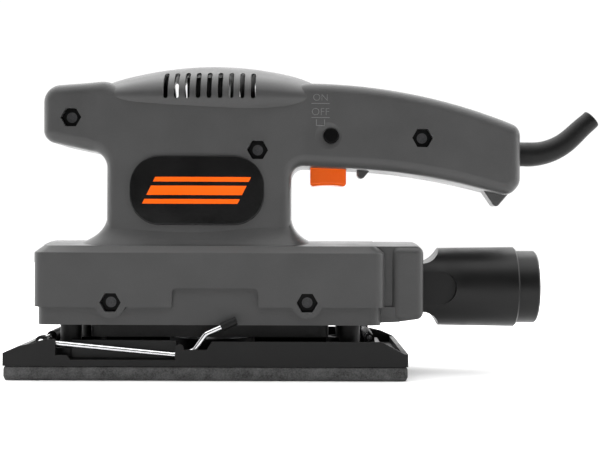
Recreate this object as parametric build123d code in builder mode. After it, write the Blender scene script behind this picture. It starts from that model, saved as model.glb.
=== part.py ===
from build123d import *
import os

# Orbital sander: a clamshell housing with motor column, nose and rear handle, an orbiting platen with
# two wire paper clamps, and a push-on dust adapter. Millimetres; the origin is the centre of the pad's
# sanding face, +Z is up and +X points to the rear handle. The housing's own outlines are drawn from the
# motor axis, with heights (names ending in _H) measured up from the housing's lower rim.

# Orbit, pad and platen
ORBIT = 1.0
PAD_LENGTH = 187.0
PAD_WIDTH = 90.0
PAD_THICK = 6.5
PAD_CORNER = 1.0
PLATEN_FLOOR = 3.0
PLATEN_HEIGHT = 11.5
PLATEN_WALL = 2.4
END_LIP_HEIGHT = 6.0
LOW_WALL_Z = 14.2
LOW_WALL_END_X = 0.6
RIM_GAP = 7.0
HUB_R = 21.0
DUST_HOLE_R = 4.5
DUST_HOLE_PITCH = 30.0
DUST_ROW_GAP = 56.0

# Tops of the platen's side walls, from the pad's end and the pad's top
FRONT_WALL_TOP = (
    (6.8, 9.0),
    (14.2, 10.7),
    (19.0, 12.3),
    (24.3, 12.3),
    (24.3, 5.1),
    (29.6, 5.1),
    (31.0, 3.2),
)
REAR_WALL_TOP = ((11.9, 11.5), (2.7, 6.5), (0.0, 5.5))

# Fits
RUN_FIT = 0.08
SLIDE_FIT = 0.25
AIR_GAP = 0.5

# Housing walls and roundings
WALL = 2.8
EDGE_ROUND = 5.5
EDGE_SOFT = 0.8
OUTLINE_EASE = 0.7

# Nose, column and handle
NOSE_FRONT_X = -80.6
NOSE_TOP_H = 113.0
NOSE_CREST_H = 115.4
NOSE_LOW_H = 86.9
NOSE_ROOT_H = 80.2
NOSE_HALF = 26.4
NOSE_DRAFT = 1.0
NOSE_TOP_ROUND = 8.5
NOSE_INNER_ROUND = 8.0
COLUMN_FRONT_X = -49.8
COLUMN_REAR_X = 38.0
COLUMN_CENTRE_X = -7.0
COLUMN_CREST = 36.5
COLUMN_BARREL_R = 190.0
NOSE_BLEND_X = -58.0
HANDLE_BLEND_X = 46.0
PLAN_BLEND_R = 40.0
BODY_TOP_H = 114.9
TOP_BLEND_R = 270.0
HANDLE_END_X = 149.0
HANDLE_TOP_BEND = (99.1, 113.9)
HANDLE_TOP_END_H = 94.6
HANDLE_ROOT_H = 75.3
HANDLE_LOW_BEND = (98.0, 72.6)
HANDLE_LOW_R = 300.0
HANDLE_INNER_ROUND = 6.0
HANDLE_HEEL = (143.9, 61.1)
HANDLE_HEEL_RISE_H = 67.2
HEEL_ROUND = 7.0
HANDLE_ROOT_HALF = 26.0
HANDLE_END_HALF = 19.4
HOOK_TIP = (138.8, 55.2)
HOOK_HALF = 6.5
HOOK_ROUND = 1.8
HOOK_RUN = 7.6
HOOK_RISE = 5.0
HOOK_HEEL = (2.6, 3.1)
FIN_TIP = (71.0, 66.8)
FIN_HALF = 5.0
FIN_ROUND = 2.0
FIN_LEAN = 0.8
FIN_RUN = 7.1

# Dome with the vent slots: place along X, half width and half height of each ellipse
DOME_H = 108.0
DOME_SEAT_FRONT_X = -40.0
DOME_SEAT_REAR_X = 34.0
DOME_SEAT_RUN = 10.0
DOME_SEAT_H = 110.8
DOME_SEAT_ROUND = 12.0
DOME_STATIONS = (
    (-57.0, 21.0, 5.0),
    (-46.0, 28.6, 9.8),
    (-26.0, 33.2, 14.3),
    (-2.0, 34.7, 16.6),
    (22.0, 33.2, 15.2),
    (40.0, 28.6, 11.7),
    (53.0, 21.5, 5.6),
)
VENT_COUNT = 9
VENT_PITCH = 5.16
VENT_WIDTH = 2.3
VENT_CENTRE_X = -0.5
VENT_LOW_H = 106.3
VENT_TOP_H = 119.2

# Roof, skirt and dust box
SKIRT_LENGTH = 164.2
SKIRT_WIDTH = 78.6
SKIRT_ROUND = 5.0
STEP_H = 8.4
STEP_INSET = 1.6
BAND_TOP_H = 33.7
FACET_H = 36.9
FACET_INSET = 3.8
CREST_H = 38.7
FLARE_RISE = 30.0
FLARE_FOOT = 1.7
FLARE_FRONT = 23.0
FLARE_REAR = 17.0
FLARE_SIDE = 2.6
FLARE_CORNER = 8.0
FLARE_CORNER_R = 20.0
FLARE_POWER = 5.5
FLARE_LEVELS = (0.0, 0.06, 0.13, 0.22, 0.34, 0.52, 0.75, 1.0)
RECESS_FRONT_X = -17.2
RECESS_REAR_X = 23.1
RECESS_TOP_H = 17.3
RECESS_ROUND = 2.5
BOX_REAR_X = 100.7
BOX_HALF = 34.0
BOX_LOW_H = 2.0
BOX_SLOPE = 1.2
BOX_TILT = 0.8
BOX_ROUND = 3.5
GROOVE_WIDTH = 3.6
GROOVE_DEPTH = 2.0
GROOVE_DROP = 0.2
SILL_INSET = 0.6

# Housing screws, by place along X and height
UPPER_SPOTS = ((-66.9, 97.8), (22.2, 82.3), (101.0, 88.7))
SKIRT_SPOTS = ((-45.9, 10.5), (45.9, 10.5))
SCREW_R = 2.5
SCREW_HEAD_R = 4.5
SCREW_HEAD_H = 3.2
NUT_FLATS = 8.5
NUT_H = 4.0
POCKET_DEPTH = 7.5
BOSS_R = 6.6
SKIRT_BOSS_R = 7.3

# Trigger, lock button, switch and badges
TRIGGER_FRONT_X = 47.4
TRIGGER_REAR_X = 64.9
TRIGGER_LOW_H = 65.5
TRIGGER_HALF = 9.0
TRIGGER_FLANGE = 1.6
TRIGGER_TOP_H = 80.4
TRIGGER_TRAVEL = 4.0
TRIGGER_SPRING_R = 3.0
SPRING_POCKET = 8.0
SPRING_WIRE_R = 0.45
SPRING_TURNS = 6
LOCK_X = 57.1
LOCK_H = 89.4
LOCK_R = 3.65
LOCK_PROUD = 0.9
LOCK_TRAVEL = 3.0
LOCK_FLANGE = 1.4
LOCK_DISH_R = 6.2
LOCK_DISH_DEPTH = 0.9
SWITCH_FRONT_X = 46.5
SWITCH_LENGTH = 26.0
SWITCH_HEIGHT = 21.0
SWITCH_HALF = 9.0
CAPACITOR_SIZE = (14.0, 10.0, 14.0)
CAPACITOR_GAP = 6.0
BADGE_LENGTH = 63.7
BADGE_HEIGHT = 32.8
BADGE_ROUND = 14.5
BADGE_X = -6.35
BADGE_H = 63.0
BADGE_THICK = 1.3

# Cord sleeve and clamp
SLEEVE_H = 82.2
SLEEVE_ROOT_R = 6.2
SLEEVE_TIP_R = 4.65
SLEEVE_BORE_R = 3.4
SLEEVE_LIP = 1.2
SLEEVE_STRAIGHT = 6.0
SLEEVE_BEND_R = 30.0
SLEEVE_BEND = 43.0
SLEEVE_TIP_RUN = 14.8
CORD_CLAMP_X = 122.0
CORD_CLAMP_SPACING = 17.0
CORD_CLAMP_SIZE = (8.0, 3.0, 22.0)
SLEEVE_FLANGE = 3.0
SLEEVE_SECTIONS = 8

# Motor, heights from the rim
SHAFT_R = 5.0
SHAFT_TOP_R = 4.0
STATOR_R = 27.0
STATOR_YOKE = 3.5
STATOR_LOW_H = 33.0
STATOR_LENGTH = 36.0
POLE_HALF = 10.5
POLE_NECK_HALF = 5.5
POLE_SHOE = 2.4
COIL_END = 4.5
ROTOR_R = 15.2
ROTOR_AIR = 0.6
ROTOR_SLOTS = 12
SLOT_ROOT_R = 9.0
SLOT_WIDTH = 2.2
SEAT_LIP = 1.5
SEAT_WALL = 4.0
LOWER_BEARING_H = 18.0
LOWER_BEARING_R = 13.0
LOWER_BEARING_W = 8.0
UPPER_BEARING_H = 96.0
UPPER_BEARING_R = 11.0
UPPER_BEARING_W = 7.0
RACE_WALL = 2.2
COMMUTATOR_R = 11.0
COMMUTATOR_H = 79.0
COMMUTATOR_LENGTH = 14.0
COMMUTATOR_BARS = 24
WEB_H = 20.0
AIR_RING_R = 30.0
ARM_WIDTH = 7.0
FAN_R = 32.0
FAN_HUB_R = 9.0
FAN_PLATE = 1.6
FAN_BLADE_ANGLE = 20.0
FAN_LOW_H = 3.4
FAN_HEIGHT = 11.0
FAN_BLADES = 11
CRANK_R = 6.0
CRANK_BEARING_R = 14.0
CRANK_BEARING_W = 8.0
CRANK_SEAT = 2.2
COUNTERWEIGHT_R = 25.0
CRANK_TOP_Z = 19.2
CRANK_SEAT_AIR = 0.4
ECCENTRIC_R = 15.0
ECCENTRIC_THICK = 6.8
COVER_THICK = 1.5
COVER_SCREWS = 4
COVER_SCREW_CIRCLE = 17.5
COVER_SCREW_R = 1.3
BRUSH_H = 86.0
BRUSH_SIZE = (5.0, 10.5, 8.0)
BRUSH_HOLDER_WALL = 1.2
BRUSH_SPRING_LENGTH = 5.0
MOTOR_WIRE_R = 1.1
WIRE_TOP_H = 97.0
WIRE_LEAD = 8.0
WIRE_BEND_X = 24.0

# Dust adapter
ADAPTER_H = 16.5
SPIGOT_R = 11.0
SPIGOT_LENGTH = 12.0
SPIGOT_BORE_R = 9.0
BARREL_R = 19.0
BARREL_END_R = 19.65
BARREL_END_X = 148.8
COLLAR_R = 17.75
COLLAR_END_X = 159.0
ADAPTER_BORE_R = 15.3
SCALLOP_R = 9.5
SCALLOP_NECK = 11.7
FLAT_DEPTH = 1.7
FLAT_END_X = 118.0
FLAT_HEIGHT = 16.0
SEAL_DEPTH = 1.0
SEAL_WIDTH = 2.0

# Paper clamps, drawn from the pad's centre
WIRE_R = 1.2
PIVOT_X = -77.0
PIVOT_Z = 17.6
LEVER_INSET = 2.6
LEVER_LOW = (-14.4, 11.6)
LEVER_RISE = (-5.5, 13.6)
LEVER_ELBOW = (-0.1, 21.2)
LEVER_TIP = (13.4, 27.2)
GRIP_R = 1.9
GRIP_LENGTH = 6.8
CROSSBAR_END_Y = 20.0
JAW_HALF = 14.0
JAW_DROP = 6.0
JAW_REACH = 3.0
JAW_THICK = 1.4
HOOK_POST_X = -14.0
HOOK_POST_LENGTH = 4.0
HOOK_POST_Z = 16.8
RECESS_WALL_LENGTH = 48.5
RECESS_WALL_Y = -38.8
CUP_HEIGHT = 7.5

# Support posts and seal
POST_X = 66.0
POST_Y = 28.0
POST_R = 5.0
POST_SOCKET_H = 9.0
SEAL_LENGTH = 112.0
SEAL_THICK = 3.0

# Derived values
FLOOR_Z = PAD_THICK + PLATEN_FLOOR
WALL_TOP_Z = PAD_THICK + PLATEN_HEIGHT
RIM_Z = WALL_TOP_Z + RIM_GAP
MOTOR_X = ORBIT
THROUGH = 200.0
SWITCH_LOW_H = TRIGGER_TOP_H + TRIGGER_TRAVEL + AIR_GAP
INNER_LENGTH = SKIRT_LENGTH - 2 * (STEP_INSET + WALL)
INNER_WIDTH = SKIRT_WIDTH - 2 * (STEP_INSET + WALL)
BOX_FRONT_X = SKIRT_LENGTH / 2 + GROOVE_WIDTH
LEVER_Y = PAD_WIDTH / 2 - LEVER_INSET
BODY_FOOT_H = BAND_TOP_H - WALL
CROWN_FOOT_H = FACET_H - EDGE_SOFT / 4
BOX_TOP_H = CREST_H


def side_plane(y=0.0):
    """Vertical plane facing -Y: local x is measured from the motor axis, local y from the rim."""
    return Plane(origin=(MOTOR_X, y, RIM_Z), x_dir=(1, 0, 0), z_dir=(0, -1, 0))


def level(height):
    """Horizontal plane at a height above the rim, centred on the motor axis."""
    return Plane(origin=(MOTOR_X, 0, RIM_Z + height))


def cross_plane(x):
    """Vertical plane facing +X at a distance from the motor axis: local x is Y, local y from the rim."""
    return Plane(origin=(MOTOR_X + x, 0, RIM_Z), x_dir=(0, 1, 0), z_dir=(1, 0, 0))


def side_half(x):
    """Half width of the nose, column or handle at a place along X."""
    if x <= NOSE_BLEND_X:
        return NOSE_HALF
    if x >= HANDLE_BLEND_X:
        taper = (x - HANDLE_BLEND_X) / (HANDLE_END_X - HANDLE_BLEND_X)
        return HANDLE_ROOT_HALF + taper * (HANDLE_END_HALF - HANDLE_ROOT_HALF)
    slope = (COLUMN_CREST - NOSE_HALF) / (COLUMN_CENTRE_X - NOSE_BLEND_X)
    barrel_centre = COLUMN_CREST - COLUMN_BARREL_R * (1 + slope**2) ** 0.5
    return barrel_centre + (COLUMN_BARREL_R**2 - (x - COLUMN_CENTRE_X) ** 2) ** 0.5


SCREW_SPOTS = [(x, height, side_half(x)) for x, height in UPPER_SPOTS]
SCREW_SPOTS += [(x, height, SKIRT_WIDTH / 2) for x, height in SKIRT_SPOTS]


def is_body_rim(edge):
    """True for the edges where the side faces meet the nose, column and handle outline."""
    middle = edge.center()
    if abs(middle.Z - RIM_Z - BODY_FOOT_H) < 0.01:
        return False
    if edge.geom_type != GeomType.LINE:
        return True
    direction = edge % 0.5
    if abs(direction.Y) > 0.999:
        return False
    if abs(direction.Z) < 0.999:
        return True
    outline_walls = (NOSE_FRONT_X, COLUMN_FRONT_X, COLUMN_REAR_X, HANDLE_END_X)
    return any(abs(middle.X - MOTOR_X - wall) < 0.01 for wall in outline_walls)


def plan_prism(grow):
    """Barrel-shaped plan of the upper body, grown outwards, as a tall prism."""
    with BuildPart() as prism:
        with BuildSketch(level(0)):
            with BuildLine():
                FilletPolyline(
                    (-THROUGH, 0),
                    (-THROUGH, NOSE_HALF - NOSE_DRAFT),
                    (NOSE_BLEND_X, NOSE_HALF),
                    (COLUMN_CENTRE_X, COLUMN_CREST),
                    (HANDLE_BLEND_X, HANDLE_ROOT_HALF),
                    (HANDLE_END_X + EDGE_ROUND, HANDLE_END_HALF),
                    (HANDLE_END_X + EDGE_ROUND, 0),
                    radius=[0, PLAN_BLEND_R, COLUMN_BARREL_R, PLAN_BLEND_R, 0],
                )
                mirror(about=Plane.XZ)
            make_face()
            if grow != 0:
                offset(amount=grow, kind=Kind.INTERSECTION)
        extrude(amount=THROUGH)
    return prism.part


def body_form(inset):
    """Nose, column and handle in one solid, shrunk by inset."""
    convex_round = EDGE_ROUND + OUTLINE_EASE
    prism = plan_prism(-inset)
    with BuildPart() as form:
        with BuildSketch(side_plane()):
            with BuildLine():
                FilletPolyline(
                    (COLUMN_FRONT_X, BODY_FOOT_H),
                    (COLUMN_FRONT_X, NOSE_ROOT_H),
                    (NOSE_FRONT_X, NOSE_LOW_H),
                    (NOSE_FRONT_X, NOSE_TOP_H),
                    (DOME_SEAT_FRONT_X - DOME_SEAT_RUN, NOSE_CREST_H),
                    (DOME_SEAT_FRONT_X, DOME_SEAT_H),
                    (DOME_SEAT_REAR_X, DOME_SEAT_H),
                    (DOME_SEAT_REAR_X + DOME_SEAT_RUN, BODY_TOP_H),
                    HANDLE_TOP_BEND,
                    (HANDLE_END_X, HANDLE_TOP_END_H),
                    (HANDLE_END_X, HANDLE_HEEL_RISE_H),
                    HANDLE_HEEL,
                    HANDLE_LOW_BEND,
                    (COLUMN_REAR_X, HANDLE_ROOT_H),
                    (COLUMN_REAR_X, BODY_FOOT_H),
                    radius=[
                        0,
                        NOSE_INNER_ROUND,
                        convex_round,
                        NOSE_TOP_ROUND,
                        DOME_SEAT_ROUND,
                        DOME_SEAT_ROUND,
                        DOME_SEAT_ROUND,
                        DOME_SEAT_ROUND,
                        TOP_BLEND_R,
                        convex_round,
                        HEEL_ROUND,
                        convex_round,
                        HANDLE_LOW_R,
                        HANDLE_INNER_ROUND,
                        0,
                    ],
                    close=True,
                )
            make_face()
            if inset != 0:
                offset(amount=-inset)
        extrude(amount=THROUGH / 2, both=True)
        add(prism, mode=Mode.INTERSECT)
        if inset == 0:
            fillet(form.edges().filter_by(is_body_rim), EDGE_ROUND)
    return form.part


def dome_form(inset, stations):
    """Crowned dome over the motor, lofted along X through ellipses."""
    with BuildPart() as form:
        for x, half_width, half_height in stations:
            with BuildSketch(cross_plane(x)):
                with Locations((0, DOME_H)):
                    Ellipse(half_width - inset, half_height - inset)
        loft()
    return form.part


def flare_form():
    """Concave flare from the column down to the roof."""
    with BuildPart() as form:
        for rise in FLARE_LEVELS:
            share = (1 - rise) ** FLARE_POWER
            front = COLUMN_FRONT_X + AIR_GAP - FLARE_FRONT * share
            rear = COLUMN_REAR_X - AIR_GAP + FLARE_REAR * share
            end_half = NOSE_HALF + FLARE_CORNER * share
            middle_half = side_half(COLUMN_CENTRE_X) - AIR_GAP + FLARE_SIDE * share
            with BuildSketch(level(BAND_TOP_H + FLARE_FOOT + FLARE_RISE * rise)):
                with BuildLine():
                    ThreePointArc((front, end_half), (COLUMN_CENTRE_X, middle_half), (rear, end_half))
                    Line((rear, end_half), (rear, -end_half))
                    ThreePointArc((rear, -end_half), (COLUMN_CENTRE_X, -middle_half), (front, -end_half))
                    Line((front, -end_half), (front, end_half))
                flare_face = make_face()
                fillet(flare_face.vertices(), EDGE_ROUND + FLARE_CORNER_R * share)
        loft()
    return form.part


def crown_height(y):
    """Height of the roof's crown at a place across it."""
    facet_half = SKIRT_WIDTH / 2 - FACET_INSET
    rise = CREST_H - CROWN_FOOT_H
    crown_r = (facet_half**2 + rise**2) / (2 * rise)
    return CREST_H - crown_r + (crown_r**2 - y**2) ** 0.5


def crown_slab(half_width, low_h, drop, front_x, rear_x):
    """Slab along X with the roof's crown on top, lowered by drop."""
    edge_h = crown_height(half_width) - drop
    with BuildPart() as slab:
        with BuildSketch(cross_plane(front_x)):
            with BuildLine():
                Polyline(
                    (half_width, edge_h),
                    (half_width, low_h),
                    (-half_width, low_h),
                    (-half_width, edge_h),
                )
                ThreePointArc((-half_width, edge_h), (0, CREST_H - drop), (half_width, edge_h))
            make_face()
        extrude(amount=rear_x - front_x)
    return slab.part


def skirt_form():
    """Stepped skirt with a faceted, crowned roof."""
    facet_length = SKIRT_LENGTH - 2 * FACET_INSET
    facet_width = SKIRT_WIDTH - 2 * FACET_INSET
    band_top_z = RIM_Z + BAND_TOP_H
    with BuildPart() as form:
        with BuildSketch(level(0)):
            RectangleRounded(SKIRT_LENGTH - 2 * STEP_INSET, SKIRT_WIDTH - 2 * STEP_INSET, SKIRT_ROUND)
        extrude(amount=STEP_H + WALL)
        with BuildSketch(level(STEP_H)):
            RectangleRounded(SKIRT_LENGTH, SKIRT_WIDTH, SKIRT_ROUND)
        extrude(amount=BAND_TOP_H - STEP_H)
        with BuildSketch(level(BAND_TOP_H)):
            RectangleRounded(SKIRT_LENGTH, SKIRT_WIDTH, SKIRT_ROUND)
        with BuildSketch(level(FACET_H)):
            RectangleRounded(facet_length, facet_width, SKIRT_ROUND)
        loft(ruled=True)
        fillet(form.edges().filter_by_position(Axis.Z, band_top_z, band_top_z), EDGE_SOFT)
    slab = crown_slab(facet_width / 2, CROWN_FOOT_H, 0, -SKIRT_LENGTH / 2, SKIRT_LENGTH / 2)
    with BuildPart() as crown:
        with BuildSketch(level(CROWN_FOOT_H)):
            RectangleRounded(facet_length, facet_width, SKIRT_ROUND)
        extrude(amount=CREST_H - CROWN_FOOT_H)
        add(slab, mode=Mode.INTERSECT)
    with BuildPart() as whole:
        add(form.part)
        add(crown.part)
    return whole.part


def dust_box_form():
    """Rear dust box behind a shallow groove, with a sill below the groove."""
    neck_front_x = BOX_FRONT_X - 3 * GROOVE_WIDTH
    neck_rear_x = BOX_FRONT_X + BOX_ROUND
    slab = crown_slab(BOX_HALF, 0, GROOVE_DROP, BOX_FRONT_X, BOX_REAR_X)
    neck = crown_slab(BOX_HALF - GROOVE_DEPTH, BOX_LOW_H, GROOVE_DROP, neck_front_x, neck_rear_x)
    with BuildPart() as sill:
        with BuildSketch(side_plane()):
            with BuildLine():
                Polyline(
                    (neck_front_x, BOX_LOW_H - BOX_SLOPE),
                    (neck_rear_x, BOX_LOW_H - BOX_SLOPE + SILL_INSET),
                    (neck_rear_x, STEP_H),
                    (neck_front_x, STEP_H),
                    close=True,
                )
            make_face()
        extrude(amount=BOX_HALF - SILL_INSET, both=True)
    with BuildPart() as form:
        with BuildSketch(side_plane()):
            with BuildLine():
                Polyline(
                    (BOX_FRONT_X, BOX_LOW_H - BOX_SLOPE),
                    (BOX_REAR_X, BOX_LOW_H + BOX_TILT),
                    (BOX_REAR_X, CREST_H),
                    (BOX_FRONT_X, CREST_H),
                    close=True,
                )
            make_face()
        extrude(amount=BOX_HALF, both=True)
        add(slab, mode=Mode.INTERSECT)
        fillet(form.edges(), BOX_ROUND)
        add(neck)
        add(sill.part)
    return form.part


def hook_and_fin_form():
    """Cord hook under the handle's end and finger guard behind the trigger."""
    with BuildPart() as form:
        with BuildSketch(side_plane()):
            with BuildLine():
                FilletPolyline(
                    (HOOK_TIP[0] - HOOK_RUN, HANDLE_HEEL[1] + HOOK_RISE),
                    HOOK_TIP,
                    (HANDLE_HEEL[0] + HOOK_HEEL[0], HANDLE_HEEL[1] + HOOK_HEEL[1]),
                    (HANDLE_HEEL[0], HANDLE_HEEL[1] + HOOK_RISE + WALL),
                    radius=[0, HOOK_ROUND, 0, 0],
                    close=True,
                )
            make_face()
        extrude(amount=HOOK_HALF, both=True)
        with BuildSketch(side_plane()):
            with BuildLine():
                FilletPolyline(
                    (FIN_TIP[0] - FIN_LEAN, HANDLE_ROOT_H),
                    FIN_TIP,
                    (FIN_TIP[0] + FIN_RUN, HANDLE_ROOT_H),
                    radius=[0, FIN_ROUND, 0],
                    close=True,
                )
            make_face()
        extrude(amount=FIN_HALF, both=True)
        fillet(form.faces().filter_by(Axis.Y).edges(), EDGE_SOFT)
    return form.part


# Closed outer form of the housing
outer_forms = [
    skirt_form(),
    flare_form(),
    body_form(0),
    dome_form(0, DOME_STATIONS),
    dust_box_form(),
    hook_and_fin_form(),
]
with BuildPart() as outer:
    for form in outer_forms:
        add(form)
    with BuildSketch(cross_plane(HANDLE_END_X - WALL)):
        with Locations((0, SLEEVE_H)):
            Circle(SLEEVE_ROOT_R + SLEEVE_LIP)
    extrude(amount=WALL + SLEEVE_LIP)
    with BuildSketch(side_plane()):
        with Locations(*SKIRT_SPOTS):
            Circle(SKIRT_BOSS_R)
    extrude(amount=SKIRT_WIDTH / 2, both=True)
    recess_length = RECESS_REAR_X - RECESS_FRONT_X
    recess_middle = (RECESS_REAR_X + RECESS_FRONT_X) / 2
    for y, x in ((-SKIRT_WIDTH / 2, recess_middle), (SKIRT_WIDTH / 2 - STEP_INSET, -recess_middle)):
        with BuildSketch(side_plane(y)):
            with Locations((x, RECESS_TOP_H / 2)):
                RectangleRounded(recess_length, RECESS_TOP_H, RECESS_ROUND)
        extrude(amount=-STEP_INSET, mode=Mode.SUBTRACT)

# Hollow inside the walls
body_hollow = body_form(WALL)
dome_hollow = dome_form(WALL, DOME_STATIONS[::2])
with BuildPart() as cavity:
    add(body_hollow)
    add(dome_hollow)
    with BuildSketch(level(-WALL)):
        RectangleRounded(INNER_LENGTH, INNER_WIDTH, SKIRT_ROUND)
    extrude(amount=FACET_H)
    with BuildSketch(cross_plane(BOX_FRONT_X + WALL)):
        with Locations((0, (BOX_LOW_H + BOX_TOP_H) / 2)):
            Rectangle(2 * (BOX_HALF - WALL), BOX_TOP_H - BOX_LOW_H - 2 * (WALL + BOX_SLOPE))
    extrude(amount=BOX_REAR_X - BOX_FRONT_X - 2 * WALL)
    with BuildSketch(cross_plane(INNER_LENGTH / 2 - WALL)):
        with Locations((0, (BOX_LOW_H + WEB_H) / 2)):
            Rectangle(2 * (BOX_HALF - 3 * WALL), WEB_H - BOX_LOW_H - 2 * WALL)
    extrude(amount=BOX_REAR_X - INNER_LENGTH / 2 - WALL)

# Inner ribs and bosses, cut to the housing's outer form
switch_ribs = (SWITCH_FRONT_X + WALL / 2, SWITCH_FRONT_X + SWITCH_LENGTH - 2 * WALL)
capacitor_x = SWITCH_FRONT_X + SWITCH_LENGTH + CAPACITOR_GAP
switch_middle_h = SWITCH_LOW_H + SWITCH_HEIGHT / 2
tower_h = UPPER_BEARING_H + UPPER_BEARING_W + SEAT_LIP
brush_holder_h = BRUSH_SIZE[2] / 2 + BRUSH_HOLDER_WALL
with BuildPart() as ribs:
    with BuildSketch(level(WEB_H)):
        Rectangle(INNER_LENGTH, INNER_WIDTH)
        Circle(AIR_RING_R, mode=Mode.SUBTRACT)
        Rectangle(2 * AIR_RING_R, ARM_WIDTH)
        Rectangle(ARM_WIDTH, 2 * AIR_RING_R)
    extrude(amount=WALL)
    with BuildSketch(level(LOWER_BEARING_H - SEAT_LIP)):
        Circle(LOWER_BEARING_R + SEAT_WALL)
    extrude(amount=LOWER_BEARING_W + 2 * SEAT_LIP)
    with BuildSketch(level(UPPER_BEARING_H - SEAT_LIP)):
        Rectangle(2 * (UPPER_BEARING_R + SEAT_WALL), SKIRT_WIDTH)
    extrude(amount=UPPER_BEARING_W + 2 * SEAT_LIP)
    with BuildSketch(level(tower_h)):
        with Locations((VENT_CENTRE_X - VENT_PITCH / 2, 0)):
            Rectangle(4 * VENT_PITCH, UPPER_BEARING_R)
    extrude(amount=VENT_TOP_H - tower_h)
    for height in (STATOR_LOW_H + SEAT_WALL, STATOR_LOW_H + STATOR_LENGTH - SEAT_WALL - WALL):
        with BuildSketch(level(height)):
            Rectangle(STATOR_R, SKIRT_WIDTH)
            with Locations((COLUMN_CENTRE_X, 0)):
                Rectangle(COLUMN_REAR_X - COLUMN_FRONT_X, 2 * POLE_HALF)
            Circle(STATOR_R, mode=Mode.SUBTRACT)
        extrude(amount=WALL)
    with BuildSketch(side_plane()):
        with Locations(*UPPER_SPOTS):
            Circle(BOSS_R)
        with Locations(*SKIRT_SPOTS):
            Circle(SKIRT_BOSS_R)
    extrude(amount=SKIRT_WIDTH, both=True)
    with BuildSketch(level(BRUSH_H - brush_holder_h - WALL)):
        Rectangle(3 * BRUSH_SIZE[0], SKIRT_WIDTH)
        Rectangle(3 * BRUSH_SIZE[0], 4 * COMMUTATOR_R, mode=Mode.SUBTRACT)
    extrude(amount=WALL)
    for x in switch_ribs:
        with BuildSketch(cross_plane(x)):
            with Locations((0, switch_middle_h)):
                Rectangle(SKIRT_WIDTH, SWITCH_HEIGHT)
        extrude(amount=WALL)
    with BuildSketch(cross_plane(capacitor_x + CAPACITOR_SIZE[0] / 2 - WALL / 2)):
        with Locations((0, SLEEVE_H + CAPACITOR_SIZE[2] / 2)):
            Rectangle(SKIRT_WIDTH, CAPACITOR_SIZE[2])
    extrude(amount=WALL)
    with BuildSketch(side_plane()):
        with Locations((CORD_CLAMP_X, SLEEVE_H)):
            with GridLocations(1, CORD_CLAMP_SPACING, 1, 2):
                Circle(CORD_CLAMP_SIZE[0] / 2)
    extrude(amount=-SKIRT_WIDTH)
    with BuildSketch(level(0)):
        with GridLocations(2 * POST_X, 2 * POST_Y, 2, 2):
            Circle(POST_R + WALL)
    extrude(amount=POST_SOCKET_H + WALL)
    add(outer.part, mode=Mode.INTERSECT)

# Both housing halves in one, hollowed and bored
with BuildPart() as shell:
    add(outer.part)
    add(cavity.part, mode=Mode.SUBTRACT)
    with BuildSketch(side_plane()):
        with Locations((VENT_CENTRE_X, (VENT_LOW_H + VENT_TOP_H) / 2)):
            with GridLocations(VENT_PITCH, 1, VENT_COUNT, 1):
                SlotOverall(VENT_TOP_H - VENT_LOW_H, VENT_WIDTH, rotation=90)
    extrude(amount=SKIRT_WIDTH, both=True, mode=Mode.SUBTRACT)
    add(ribs.part)
    with BuildSketch(level(LOWER_BEARING_H)):
        Circle(LOWER_BEARING_R)
    extrude(amount=LOWER_BEARING_W, mode=Mode.SUBTRACT)
    with BuildSketch(level(0)):
        Circle(LOWER_BEARING_R - RACE_WALL)
    extrude(amount=STATOR_LOW_H, mode=Mode.SUBTRACT)
    with BuildSketch(level(UPPER_BEARING_H)):
        Circle(UPPER_BEARING_R)
    extrude(amount=UPPER_BEARING_W, mode=Mode.SUBTRACT)
    with BuildSketch(level(UPPER_BEARING_H - 2 * SEAT_LIP)):
        Circle(UPPER_BEARING_R - RACE_WALL)
    extrude(amount=UPPER_BEARING_W + 4 * SEAT_LIP, mode=Mode.SUBTRACT)
    with BuildSketch(side_plane()):
        with Locations((SWITCH_FRONT_X + SWITCH_LENGTH / 2, switch_middle_h)):
            Rectangle(SWITCH_LENGTH, SWITCH_HEIGHT)
    extrude(amount=SWITCH_HALF, both=True, mode=Mode.SUBTRACT)
    with BuildSketch(side_plane()):
        with Locations((capacitor_x + CAPACITOR_SIZE[0] / 2, SLEEVE_H + CAPACITOR_SIZE[2] / 2)):
            Rectangle(CAPACITOR_SIZE[0], CAPACITOR_SIZE[2])
    extrude(amount=CAPACITOR_SIZE[1] / 2, both=True, mode=Mode.SUBTRACT)
    with BuildSketch(side_plane()):
        with Locations(((TRIGGER_FRONT_X + TRIGGER_REAR_X) / 2, HANDLE_ROOT_H)):
            Rectangle(TRIGGER_REAR_X - TRIGGER_FRONT_X + 2 * SLIDE_FIT, 4 * WALL)
    extrude(amount=TRIGGER_HALF + SLIDE_FIT, both=True, mode=Mode.SUBTRACT)
    with BuildSketch(cross_plane(HANDLE_END_X - 2 * WALL)):
        with Locations((0, SLEEVE_H)):
            Circle(SLEEVE_ROOT_R - SLEEVE_LIP)
    extrude(amount=4 * WALL, mode=Mode.SUBTRACT)
    with BuildSketch(cross_plane(BOX_REAR_X - 2 * WALL)):
        with Locations((0, ADAPTER_H)):
            Circle(SPIGOT_R + RUN_FIT)
    extrude(amount=4 * WALL, mode=Mode.SUBTRACT)
    with BuildSketch(side_plane()):
        with Locations(*UPPER_SPOTS):
            Circle(SCREW_R + RUN_FIT)
        with Locations(*SKIRT_SPOTS):
            Circle(SCREW_R + RUN_FIT)
    extrude(amount=SKIRT_WIDTH, both=True, mode=Mode.SUBTRACT)
    with BuildSketch(level(0)):
        with GridLocations(2 * POST_X, 2 * POST_Y, 2, 2):
            Circle(POST_R)
    extrude(amount=POST_SOCKET_H, mode=Mode.SUBTRACT)

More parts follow.
